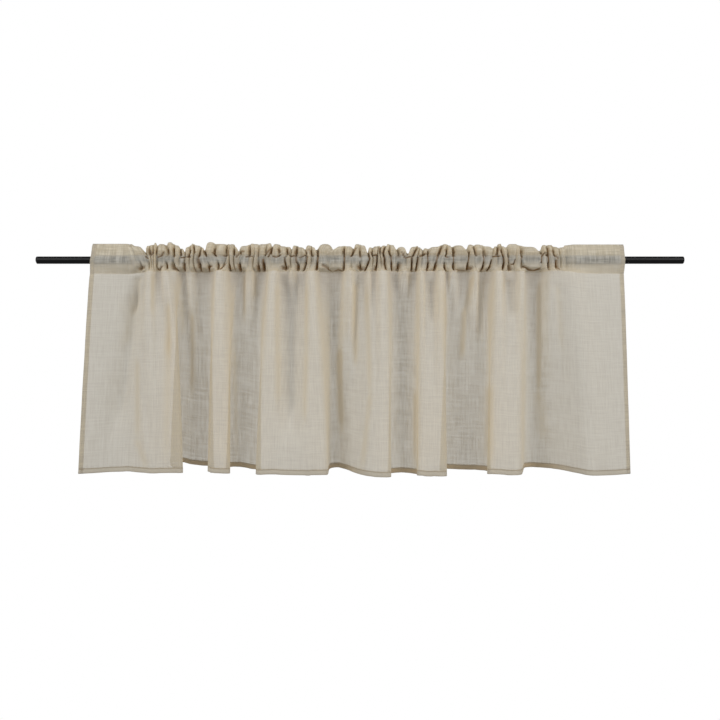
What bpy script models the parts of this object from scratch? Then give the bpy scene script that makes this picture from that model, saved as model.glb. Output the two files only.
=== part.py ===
"""Window valance on a rod: one gathered sheet of linen, folded over at the top to make the pocket for the rod.

The origin is on the rod's axis at its middle, +X runs along the rod, -Y is the front and +Z is up.
The sheet is built as it is made: a flat rectangle whose top is folded over and sewn down behind. Its plan
curve is worked out twice, gathered into puckers at the heading and falling in wide folds at the hem, and
each vertical thread runs from its place in the first to its place in the second.
"""

import math
from collections import namedtuple

import bpy
import numpy as np

NAME = "window_valance_on_rod"
MM = 0.001

# Driving dimensions, in millimetres
ROD_RADIUS = 8.0
ROD_LENGTH = 1404.0
ROD_SIDES = 32
ROD_CHAMFER = 0.6
CLOTH = 1.2  # thickness of the sheet
HEM = 2.0  # thickness of the turned hems along the sides and the bottom
SEAT = 0.4  # clear space between the rod and the cloth that bears on it
LEFT_EDGE, RIGHT_EDGE = -580.0, 568.0  # the sheet's side edges at the heading
LEFT_GATHER, RIGHT_GATHER = -477.0, 441.0  # between these the heading is gathered
SIDE_HEM = 11.0
BOTTOM_HEM = 10.0
DROP = 436.0  # length of a thread from the pocket's seam to the hem
SEAM_FLAT = -30.0  # height of the pocket's seam at the flat ends, from the rod's axis
SEAM_GATHERED = -26.0  # the same where the puckers take up some of the pocket
HEADING_LEFT, HEADING_RIGHT = 33.5, 31.0  # height of the heading's edge at the two ends
FLAP_SHIFT = 2.0  # how far the folded-over layer lies behind the front one, along the plan normal
SHARPEST = 0.3  # limits that shift at the bottom of a sharp valley
COLUMN_STEP = 5.9  # about how far apart the mesh's threads are in a pucker

# The heading's puckers from left to right. width runs from the pucker's left valley to the next one, depth
# is from valley to crest, notch and crest are the heights of the heading's edge there, lean is how far the
# valley's upper end stands to the right of its lower end, and run is how far down the pucker can be seen.
Pucker = namedtuple("Pucker", "width depth notch crest lean run")
PUCKERS = [
    Pucker(24, 13, 30, 28, 0, 40),
    Pucker(15, 11, 17, 35, -9, 45),
    Pucker(24, 19, 29, 32, 2, 50),
    Pucker(17, 13, 28, 36, -5, 35),
    Pucker(19, 12, 29, 30, 5, 35),
    Pucker(17, 11, 22, 33, 0, 60),
    Pucker(13, 10, 30, 31, 0, 260),
    Pucker(17, 12, 29, 30, 3, 110),
    Pucker(21, 16, 26, 36, -4, 50),
    Pucker(26, 17, 30, 31, 6, 40),
    Pucker(24, 18, 28, 32, -6, 45),
    Pucker(34, 21, 18, 29, -6, 120),
    Pucker(17, 12, 29, 32, 2, 70),
    Pucker(47, 22, 30, 34, -3, 60),
    Pucker(26, 18, 24, 30, 4, 300),
    Pucker(19, 14, 24, 29, 4, 120),
    Pucker(24, 17, 26, 29, -2, 130),
    Pucker(56, 23, 22, 32, 0, 60),
    Pucker(43, 22, 20, 31, -9, 210),
    Pucker(13, 10, 19, 24, 6, 50),
    Pucker(17, 13, 24, 27, 4, 40),
    Pucker(13, 10, 27, 30, 0, 30),
    Pucker(17, 13, 28, 32, -3, 35),
    Pucker(15, 11, 24, 28, 3, 40),
    Pucker(30, 20, 25, 30, 0, 65),
    Pucker(37, 22, 16, 28, -7, 45),
    Pucker(13, 10, 20, 26, -9, 80),
    Pucker(19, 14, 25, 31, -3, 50),
    Pucker(21, 16, 29, 32, 2, 90),
    Pucker(30, 20, 27, 30, 4, 110),
    Pucker(32, 21, 24, 31, -4, 140),
    Pucker(15, 11, 27, 29, 1, 130),
    Pucker(30, 19, 26, 32, -4, 50),
    Pucker(13, 10, 28, 29, 3, 80),
    Pucker(26, 18, 29, 31, 0, 45),
    Pucker(19, 14, 26, 28, 8, 90),
    Pucker(24, 17, 24, 27, 5, 200),
    Pucker(15, 11, 20, 30, -8, 80),
    Pucker(13, 10, 27, 30, -2, 45),
    Pucker(21, 13, 22, 28, 8, 50),
]

# The hem's faces from left to right: each runs from its left point to its right point in plan, a front face
# at negative y and a back channel at positive y, and the walls join them. A back channel is wider than the
# gap in front of it, so its walls lie behind the front faces. heading is where its middle hangs from.
Face = namedtuple("Face", "left_x left_y right_x right_y heading")
FACES = [
    Face(-597, -29, -570, -20, -565),
    Face(-537, 0, -507, 2, -506),
    Face(-450, -23, -378, -25, -427),
    Face(-434, 62, -334, 68, -352),
    Face(-327, -17, -278, -17, -297),
    Face(-303, 42, -217, 40, -236),
    Face(-220, -38, -67, -44, -148),
    Face(-70, 52, -52, 52, -57),
    Face(15, -50, 65, -57, 43),
    Face(56, -8, 128, -8, 99),
    Face(116, -50, 182, -52, 158),
    Face(173, 34, 290, 14, 236),
    Face(268, -46, 341, -46, 321),
    Face(368, 44, 388, 46, 378),
    Face(485, -44, 579, -25, 516),
]
CORNER = 26.0  # length over which a fold's corner is rounded

# The pocket's section from its seam up to the heading's edge: height is -1 at the seam, -0.5 and 0.5 where the
# cloth passes under and over the rod, and 1 at the edge. spread is how far the layers stand apart there, as a
# share of the most, and sway is how much of the drop's wide folds is still in the cloth.
PASS = 11.0  # height above or below the rod's axis at which the cloth passes it
PocketRow = namedtuple("PocketRow", "height spread sway")
POCKET = [
    PocketRow(-1.0, 0.0, 1.0),
    PocketRow(-0.5, 0.88, 0.0),
    PocketRow(0.0, 1.0, 0.0),
    PocketRow(0.5, 0.88, 0.0),
    PocketRow(0.8, 0.34, 0.0),
    PocketRow(1.0, 0.05, 0.0),
]

# Levels of the drop below the seam, as shares of it, down to the hem's stitching and the hem's edge
LEVELS = [0.055, 0.15, 0.33, 0.62, 1.0 - BOTTOM_HEM / DROP, 1.0]
DEPTH_AT_SEAM = 0.18  # share of a fold's depth that it already has at the seam
DEPTH_POWER = 0.66
SPREAD_POWER = 0.45

LINEN = (0.53, 0.50, 0.42)
BLACK = (0.012, 0.012, 0.013)

Column = namedtuple("Column", "x dx y top lean run spread seam")


def lerp(a, b, share):
    return a + (b - a) * share


def flat_column(x):
    """A thread in one of the heading's flat ends."""
    end = (x - LEFT_EDGE) / (RIGHT_EDGE - LEFT_EDGE)
    top = lerp(HEADING_LEFT, HEADING_RIGHT, round(end))
    return Column(x, 0.0, 0.0, top, 0.0, 40.0, ROD_RADIUS + SEAT + HEM / 2, SEAM_FLAT)


def pucker_columns(index, left):
    """The threads of one pucker, from its left valley to just before its right one."""
    pucker = PUCKERS[index]
    before = PUCKERS[index - 1] if index else Pucker(0, 0, 0, 0, 0, 40)
    after = PUCKERS[index + 1] if index + 1 < len(PUCKERS) else Pucker(0, 0, HEADING_RIGHT, 0, 0, 40)
    count = max(3, min(6, round(pucker.width / COLUMN_STEP)))
    valleys = [(before.depth + pucker.depth) / 4, (pucker.depth + after.depth) / 4]
    columns = []
    for step in range(count):
        turn = step / count
        rise = min(1.0, 1.2 * math.sin(math.pi * turn) ** 2)
        side = 0 if turn < 0.5 else 1
        away = 0.85 * math.sin(4 * math.pi * turn) / (4 * math.pi)
        valley = valleys[side]
        amplitude = lerp(valley, pucker.depth / 2, rise)
        columns.append(
            Column(
                x=left + pucker.width * turn,
                dx=pucker.width * away,
                y=lerp(valley, -pucker.depth / 2, rise),
                top=lerp((pucker.notch, after.notch)[side], pucker.crest, rise),
                lean=lerp(pucker.lean, after.lean, turn),
                run=max(pucker.run, before.run) if step == 0 else pucker.run,
                spread=amplitude + ROD_RADIUS + SEAT + CLOTH / 2,
                seam=SEAM_GATHERED if index or step else SEAM_FLAT,
            )
        )
    return columns


def heading_columns():
    """Every thread that the mesh follows, from the left edge to the right one."""
    columns = [flat_column(x) for x in (LEFT_EDGE, LEFT_EDGE + SIDE_HEM, -545.0, -519.0, -497.0)]
    left = LEFT_GATHER
    for index, pucker in enumerate(PUCKERS):
        columns += pucker_columns(index, left)
        left += pucker.width
    return columns + [flat_column(x) for x in (RIGHT_GATHER, 468.0, 500.0, 532.0, RIGHT_EDGE - SIDE_HEM, RIGHT_EDGE)]


def hem_curve():
    """The hem in plan, a point for every millimetre of cloth, and the cloth's length at each face's middle."""
    corners = []
    middles = []
    for face in FACES:
        corners += [(face.left_x, face.left_y), (face.right_x, face.right_y)]
    corners = np.array(corners, float)
    along = np.concatenate([[0], np.cumsum(np.hypot(*np.diff(corners, axis=0).T))])
    steps = np.arange(0, along[-1], 1.0)
    plan = np.stack([np.interp(steps, along, corners[:, axis]) for axis in (0, 1)], axis=1)
    reach = int(CORNER / 2)
    for _ in range(2):
        before = 2 * plan[0] - plan[reach:0:-1]
        behind = 2 * plan[-1] - plan[-2 : -reach - 2 : -1]
        padded = np.concatenate([before, plan, behind])
        sums = np.cumsum(np.concatenate([np.zeros((1, 2)), padded]), axis=0)
        plan = (sums[2 * reach + 1 :] - sums[: -2 * reach - 1]) / (2 * reach + 1)
    cloth = np.concatenate([[0], np.cumsum(np.hypot(*np.diff(plan, axis=0).T))])
    for row in range(len(FACES)):
        middles.append(np.interp((along[2 * row] + along[2 * row + 1]) / 2, steps, cloth))
    return plan, cloth, middles


def plan_frames(points):
    """Unit tangents and normals of a plan curve, with the normals to its back."""
    way = np.gradient(points, axis=0)
    way /= np.linalg.norm(way, axis=1)[:, None]
    return way, np.stack([-way[:, 1], way[:, 0]], axis=1)


def set_back(points, distance):
    """The plan curve moved to its back, so that each of its straight runs moves by the whole distance."""
    way = np.diff(points, axis=0)
    way /= np.linalg.norm(way, axis=1)[:, None]
    runs = np.stack([-way[:, 1], way[:, 0]], axis=1)
    before, after = np.vstack([runs[:1], runs]), np.vstack([runs, runs[-1:]])
    middle = before + after
    middle /= np.linalg.norm(middle, axis=1)[:, None]
    reach = distance / np.maximum(SHARPEST, (middle * after).sum(axis=1))
    return points + middle * reach[:, None]


def pocket_height(height, limit):
    """Where a row of the pocket lies, between the rod's axis and the seam or the heading's edge."""
    side = math.copysign(1.0, height)
    near = min(1.0, abs(height) / 0.5)
    far = max(0.0, abs(height) - 0.5) / 0.5
    return side * near * PASS + far * (limit - side * PASS)


def sheet_rows():
    """The sheet's rows of points, from the hem's edge up the front, over the heading and down the back."""
    columns = heading_columns()
    table = {name: np.array([getattr(c, name) for c in columns], float) for name in Column._fields}
    plan, cloth, middles = hem_curve()
    total = cloth[-1]
    heading = [LEFT_EDGE, LEFT_GATHER] + [f.heading for f in FACES[2:-1]] + [RIGHT_GATHER, RIGHT_EDGE]
    lengths = [0.0, LEFT_GATHER - LEFT_EDGE] + middles[2:-1] + [total - (RIGHT_EDGE - RIGHT_GATHER), total]
    place = np.interp(table["x"], heading, lengths)
    hem = np.stack([np.interp(place, cloth, plan[:, axis]) for axis in (0, 1)], axis=1)

    def puckered(base, share):
        way, normals = plan_frames(base)
        return base + (share * table["dx"])[:, None] * way + (share * table["y"])[:, None] * normals

    seam = puckered(np.stack([table["x"], DEPTH_AT_SEAM * hem[:, 1]], axis=1), 1.0)
    below = []
    last = np.column_stack([seam, table["seam"]])
    for level, step in zip(LEVELS, np.diff([0.0] + LEVELS)):
        depth = lerp(DEPTH_AT_SEAM, 1.0, level**DEPTH_POWER)
        base = np.stack([lerp(table["x"], hem[:, 0], level**SPREAD_POWER), depth * hem[:, 1]], axis=1)
        place = puckered(base, np.exp(-((level * DROP / table["run"]) ** 1.3)))
        slide = np.linalg.norm(place - last[:, :2], axis=1)
        fall = np.sqrt(np.maximum((step * DROP) ** 2 - slide**2, (0.5 * step * DROP) ** 2))
        last = np.column_stack([place, last[:, 2] - fall])
        below.append(last)

    front, back = [], []
    gathered = np.stack([table["x"] + table["dx"], table["y"]], axis=1)
    for row in POCKET:
        upper = max(row.height, 0.0)
        z = pocket_height(row.height, table["top"] if upper else table["seam"])
        middle = lerp(gathered, seam, row.sway)
        middle[:, 0] += upper * table["lean"]
        gap = row.spread * table["spread"]
        behind = set_back(middle, FLAP_SHIFT)
        front.append(np.column_stack([middle[:, 0], middle[:, 1] - gap, z]))
        back.append(np.column_stack([behind[:, 0], behind[:, 1] + gap, z]))
    return below[::-1] + front + back[::-1]


def material(name, colour, roughness, metallic=0.0):
    made = bpy.data.materials.new(name)
    made.use_nodes = True
    shader = made.node_tree.nodes["Principled BSDF"]
    shader.inputs["Base Color"].default_value = (*colour, 1.0)
    shader.inputs["Roughness"].default_value = roughness
    shader.inputs["Metallic"].default_value = metallic
    return made


def make_cloth(collection):
    """The sheet as an open surface, thickened, with thicker hems along its sides and bottom."""
    rows = sheet_rows()
    count = len(rows[0])
    points = np.concatenate(rows) * MM
    faces = [
        (r * count + c, r * count + c + 1, (r + 1) * count + c + 1, (r + 1) * count + c)
        for r in range(len(rows) - 1)
        for c in range(count - 1)
    ]
    mesh = bpy.data.meshes.new("valance_cloth")
    mesh.from_pydata(points.tolist(), [], faces)
    mesh.shade_smooth()
    cloth = bpy.data.objects.new("valance_cloth", mesh)
    collection.objects.link(cloth)
    group = cloth.vertex_groups.new(name="hems")
    for r in range(len(rows)):
        for c in range(count):
            hem = r < 2 or c in (0, 1, count - 2, count - 1)
            group.add([r * count + c], 1.0 if hem else CLOTH / HEM, "REPLACE")
    thick = cloth.modifiers.new("thickness", "SOLIDIFY")
    thick.thickness = HEM * MM
    thick.offset = 0.0
    thick.use_quality_normals = True
    thick.vertex_group = "hems"
    mesh.materials.append(material("linen", LINEN, 0.9))
    return cloth


def make_rod(collection):
    """The rod, a plain round bar with a slight chamfer at each end."""
    bpy.ops.mesh.primitive_cylinder_add(
        vertices=ROD_SIDES, radius=ROD_RADIUS * MM, depth=ROD_LENGTH * MM, rotation=(0, math.pi / 2, 0)
    )
    rod = bpy.context.object
    rod.name = rod.data.name = "rod"
    for owner in rod.users_collection:
        owner.objects.unlink(rod)
    collection.objects.link(rod)
    edge = rod.modifiers.new("chamfer", "BEVEL")
    edge.width = ROD_CHAMFER * MM
    edge.segments = 1
    edge.limit_method = "ANGLE"
    edge.angle_limit = math.radians(60)
    rod.data.shade_smooth()
    rod.data.set_sharp_from_angle(angle=math.radians(30))
    rod.data.materials.append(material("black_paint", BLACK, 0.4))
    return rod


def main():
    for old in list(bpy.data.objects):
        bpy.data.objects.remove(old, do_unlink=True)
    collection = bpy.data.collections.new(NAME)
    bpy.context.scene.collection.children.link(collection)
    make_rod(collection)
    make_cloth(collection)


main()
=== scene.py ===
"""Looks of the window valance: the gathered linen as a fine sheet, its weave, the black rod and the light.

Sizes are in millimetres until a mesh is made. The cloth follows the solid of the frame: the same plan of wide
folds at the hem, and the same seam and pocket round the rod, with every ruffle of the heading of its own.
"""

import math
from collections import namedtuple

import bpy
import numpy as np
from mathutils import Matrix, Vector


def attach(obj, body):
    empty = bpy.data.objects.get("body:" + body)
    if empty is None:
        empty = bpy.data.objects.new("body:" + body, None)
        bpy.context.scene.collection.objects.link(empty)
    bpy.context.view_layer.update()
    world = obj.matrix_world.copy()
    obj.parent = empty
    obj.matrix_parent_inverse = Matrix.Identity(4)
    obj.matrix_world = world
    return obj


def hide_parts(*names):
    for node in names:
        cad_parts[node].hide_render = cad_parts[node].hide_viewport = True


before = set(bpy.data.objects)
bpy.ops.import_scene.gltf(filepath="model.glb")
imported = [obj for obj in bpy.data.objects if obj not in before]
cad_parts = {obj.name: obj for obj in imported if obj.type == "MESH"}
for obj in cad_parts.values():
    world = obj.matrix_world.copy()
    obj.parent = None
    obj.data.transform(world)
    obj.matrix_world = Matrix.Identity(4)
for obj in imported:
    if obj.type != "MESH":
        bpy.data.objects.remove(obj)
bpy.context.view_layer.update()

MM = 0.001
SEED = 7

# The rod, the sheet and its place on the rod
ROD_RADIUS = 8.0
SEAT = 0.9  # from the rod's surface to the cloth that bears on it
LEFT_EDGE, RIGHT_EDGE = -585.0, 572.5
SIDE_HEM, BOTTOM_HEM = 9.5, 10.0
HEM_LAYER = 0.8  # how far behind the sheet its turned hem lies
STITCH_DIP = 0.5  # how deep a line of stitches pulls the cloth in
DROP = 436.0
SEAM_FLAT, SEAM_BETWEEN, SEAM_GATHERED = -30.0, -28.0, -26.0
HEADING_LEFT, HEADING_RIGHT = 35.5, 34.0
PASS = 11.0  # distance from the rod's axis halfway up to the edge and halfway down to the seam

# The shape of the heading
SETTLE, LEAN_SETTLE = 26.0, 42.0  # widths over which a flat end runs into the ruffles, and follows their lean
END_PUCKER = 6.0  # how far the cloth stands out beside the first and the last valley
END_SWELL = (1.0, 1.2)  # how much wider the heading's left and right ends stand over the rod
END_LEAN = (4.5, 0.5)  # how much further in than at the seam they stand at the top edge
END_START, END_WIDTH = 490.0, 60.0  # where both begin, and the width over which they grow
CREST_POWER = 2.8  # how flat the crest of a ruffle is, and how narrow its valley
LOBE_POWER = 2.2  # how round the edge of a lobe is
CROWDING = 0.25  # how much closer the threads lie in the valleys
MOUTH, WALL = 0.7, 0.6  # how far a ruffle's crest spreads over its valley, and how upright its walls are
TOP_START, TOP_OVERHANG = 0.6, 0.6  # where that spread begins to shrink, and its share at the edge
OPEN_NOTCH, LEAST_OPEN = 10.0, 0.15  # how low a notch keeps a valley open, and the least
EDGE_ROLL = (0.75, 0.6)  # the share of a valley's depth in the frill that is left under the edge and at it
BACK_LOBE = 0.5  # how far the back layer follows the valleys
NARROW, WIDE = 9.0, 17.0  # widths at which a ruffle begins to lie taut on the rod, and lies flat on it

# The mesh, with threads that run down the cloth and rows across it
FLAT_STEP, RUFFLE_STEP = 4.5, 1.3  # distance between threads in the flat ends and in the ruffles
THREAD_GAP, LEAST_THREADS = 2.0, 6  # the least room where those meet, and the least number in a ruffle
FRONT_ROWS, BACK_ROWS = 52, 12  # in the pocket's two layers
FIRST_ROW, ROW_STEP, ROW_GROWTH, LONGEST_ROW = 1.0, 1.5, 0.07, 6.3  # in the drop, wider apart lower down
HEM_ROOM, STITCH_ROW = 3.0, 1.2  # from the hem's stitches to the last of those, and to the rows beside them
HEM_ROWS = (BOTTOM_HEM + STITCH_ROW, BOTTOM_HEM, BOTTOM_HEM - STITCH_ROW, 5.0, 1.0, 0.0)
SIDE_FOLD = [(4, 1.0), (3, 1.0), (2, 1.0), (1, 0.9), (0, 0.45)]  # from a turned hem's inner edge to its fold
BOTTOM_FOLD = [(5, 1.0)] + SIDE_FOLD
EDGE_THREADS = 8  # at each side the drop has these threads in full, and every second one elsewhere


def table(columns, rows):
    """A list of rows with named columns."""
    row = namedtuple("Row", columns)
    return [row(*values) for values in rows]


# The valleys between the heading's ruffles from left to right, each with the ruffle at its right. A valley's
# place is given at the seam, below the rod, at the rod, in the frill and at the edge. notch and crest are the
# heights of the edge at the valley and at the ruffle's crest, bulge is how far that crest stands out, and the
# deep values are how much of it the valley goes back below, at and above the rod.
VALLEYS = table("seam low rod frill top notch crest bulge deep_low deep_rod deep_frill", [
    (-477, -473, -479, -484, -496, 34, 29, 11, 0.8, 0.1, 0.05),
    (-453, -453, -455, -461, -466, 15, 30, 9, 0.5, 0.7, 0.8),
    (-449, -449, -450, -455, -456, 31, 32, 9, 0, 0.1, 0.9),
    (-444, -444, -444, -445, -447, 33, 37, 11, 0, 0.2, 1),
    (-439, -440, -440, -441, -439, 31, 34, 12, 0.6, 0.8, 0.7),
    (-416, -417, -419, -413, -420, 32, 38, 12, 1, 1, 1),
    (-394, -401, -402, -401, -403, 34, 31, 11, 0.9, 0.7, 0.9),
    (-386, -390, -391, -388, -388, 24, 24, 10, 0, 0.2, 0.9),
    (-379, -379, -377, -377, -381, 16, 28, 10, 1, 0.9, 0.5),
    (-368, -368, -368, -368, -366, 32, 35, 9, 0, 0, 1),
    (-358, -359, -360, -359, -360, 34, 31, 10, 0.7, 0.9, 0.7),
    (-346, -346, -348, -346, -343, 28, 26, 10, 1, 1, 0.9),
    (-329, -326, -330, -334, -338, 21, 38, 14, 0.8, 0.2, 0.8),
    (-305, -306, -307, -315, -311, 34, 34, 14, 1, 1, 0.9),
    (-301, -295, -288, -287, -287, 33, 34, 11, 0.4, 0.2, 0.9),
    (-282, -282, -282, -284, -282, 33, 34, 10, 1, 0.9, 0.2),
    (-269, -272, -273, -273, -272, 33, 28, 10, 0.5, 0.6, 0.9),
    (-258, -259, -261, -257, -266, 15, 30, 11, 1, 0.7, 0.7),
    (-243, -241, -240, -238, -238, 33, 35, 11, 0, 0, 1),
    (-230, -231, -230, -228, -228, 34, 34, 11, 0.2, 0.5, 0.1),
    (-220, -220, -221, -219, -219, 33, 34, 10, 1, 0.3, 0.5),
    (-206, -206, -206, -204, -200, 35, 36, 11, 1, 1, 0.7),
    (-188, -190, -192, -192, -190, 29, 34, 11, 0, 0, 1),
    (-175, -175, -175, -175, -175, 33, 29, 12, 0, 0.1, 0.7),
    (-160, -160, -160, -157, -159, 28, 28, 10, 1, 0.8, 0.9),
    (-149, -150, -151, -149, -148, 23, 31, 10, 0.3, 0.4, 0.4),
    (-133, -133, -138, -137, -136, 30, 27, 11, 1, 0.9, 1),
    (-124, -118, -115, -115, -119, 23, 31, 12, 1, 1, 0.8),
    (-109, -107, -106, -105, -105, 30, 27, 10, 0, 0, 0.9),
    (-94, -94, -92, -92, -96, 22, 34, 13, 1, 1, 0.9),
    (-66, -66, -65, -72, -54, 20, 29, 11, 0.3, 0.3, 0.2),
    (-37, -34, -36, -35, -34, 30, 29, 12, 0.8, 0.8, 0.8),
    (-17, -19, -20, -15, -14, 25, 34, 11, 0.4, 0.3, 1),
    (2, 1, -1, -1, 0, 33, 31, 10, 1, 0.6, 0.7),
    (10, 15, 21, 19, 16, 15, 27, 10, 1, 1, 0.8),
    (25, 27, 28, 26, 27, 26, 29, 9, 0, 0, 0.9),
    (35, 35, 38, 39, 40, 30, 30, 9, 1, 0.9, 0.6),
    (47, 46, 45, 43, 45, 28, 31, 10, 0, 0.2, 0.9),
    (57, 55, 53, 51, 57, 30, 34, 10, 0.7, 0.8, 1),
    (68, 67, 65, 63, 64, 33, 32, 10, 0.8, 0.8, 0.8),
    (82, 82, 83, 84, 77, 22, 28, 11, 1, 0.5, 0.7),
    (98, 99, 100, 103, 104, 14, 28, 11, 0, 0, 0.6),
    (112, 112, 112, 117, 125, 30, 27, 9, 1, 1, 1),
    (121, 122, 124, 126, 130, 27, 24, 9, 1, 1, 0.4),
    (131, 132, 133, 136, 136, 21, 25, 9, 0, 0, 0.9),
    (144, 147, 148, 147, 147, 24, 28, 10, 1, 1, 0.8),
    (160, 162, 166, 173, 178, 32, 34, 11, 1, 1, 1),
    (187, 183, 182, 187, 189, 33, 31, 10, 1, 0.7, 0.9),
    (202, 201, 202, 202, 198, 28, 31, 13, 0.9, 0.3, 0.9),
    (232, 234, 234, 237, 230, 23, 33, 11, 1, 0.8, 0.7),
    (248, 248, 248, 248, 246, 31, 33, 12, 0.2, 0.1, 0.8),
    (263, 267, 269, 268, 262, 32, 29, 10, 1, 0.8, 0.6),
    (275, 281, 285, 288, 289, 25, 29, 10, 0.9, 0.6, 0.3),
    (294, 296, 297, 298, 296, 29, 34, 10, 0, 0.1, 1),
    (307, 311, 312, 307, 304, 35, 29, 10, 1, 1, 0.9),
    (321, 321, 319, 320, 315, 27, 34, 12, 0.9, 0.5, 0.5),
    (334, 332, 336, 337, 338, 34, 32, 11, 0.2, 0.4, 0.1),
    (348, 348, 348, 347, 344, 31, 28, 12, 0.4, 0.7, 0.8),
    (392, 392, 392, 394, 390, 20, 32, 11, 0.3, 0.8, 0.8),
    (408, 408, 407, 405, 404, 31, 32, 10, 1, 0.9, 1),
    (423, 423, 421, 420, 414, 32, 28, 9, 0.8, 0.6, 0.8),
    (433, 433, 433, 431, 430, 26, 27, 8, 0.2, 0.3, 0.4),
    (445, 445, 445, 445, 445, 32, 0, 0, 0.1, 0.1, 0.1),
])
VALLEY_HEIGHTS = (-1, -0.6, 0, 0.6, 1)

# Heights of a ruffle's section, from -1 at the seam over 0 at the rod's axis to 1 at the edge. reach is how
# far the front layer lies before the axis, gain is the share of the bulge that a crest adds, back is how far
# a deep valley goes behind that, and taut is how much of the bulge a wide ruffle lacks there.
SECTIONS = table("height reach gain back taut", [
    (-1, 0, 0, 0, 0),
    (-0.66, 6, 0.95, 8, 0.35),
    (0, 8.9, 0.85, 0, 0.93),
    (0.42, 6.5, 0.75, 1, 0.6),
    (0.68, 5, 1, 8, 0.2),
    (0.88, 3.6, 0.75, 7, 0.1),
    (1, 0.4, 0.5, 5, 0),
])

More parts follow.
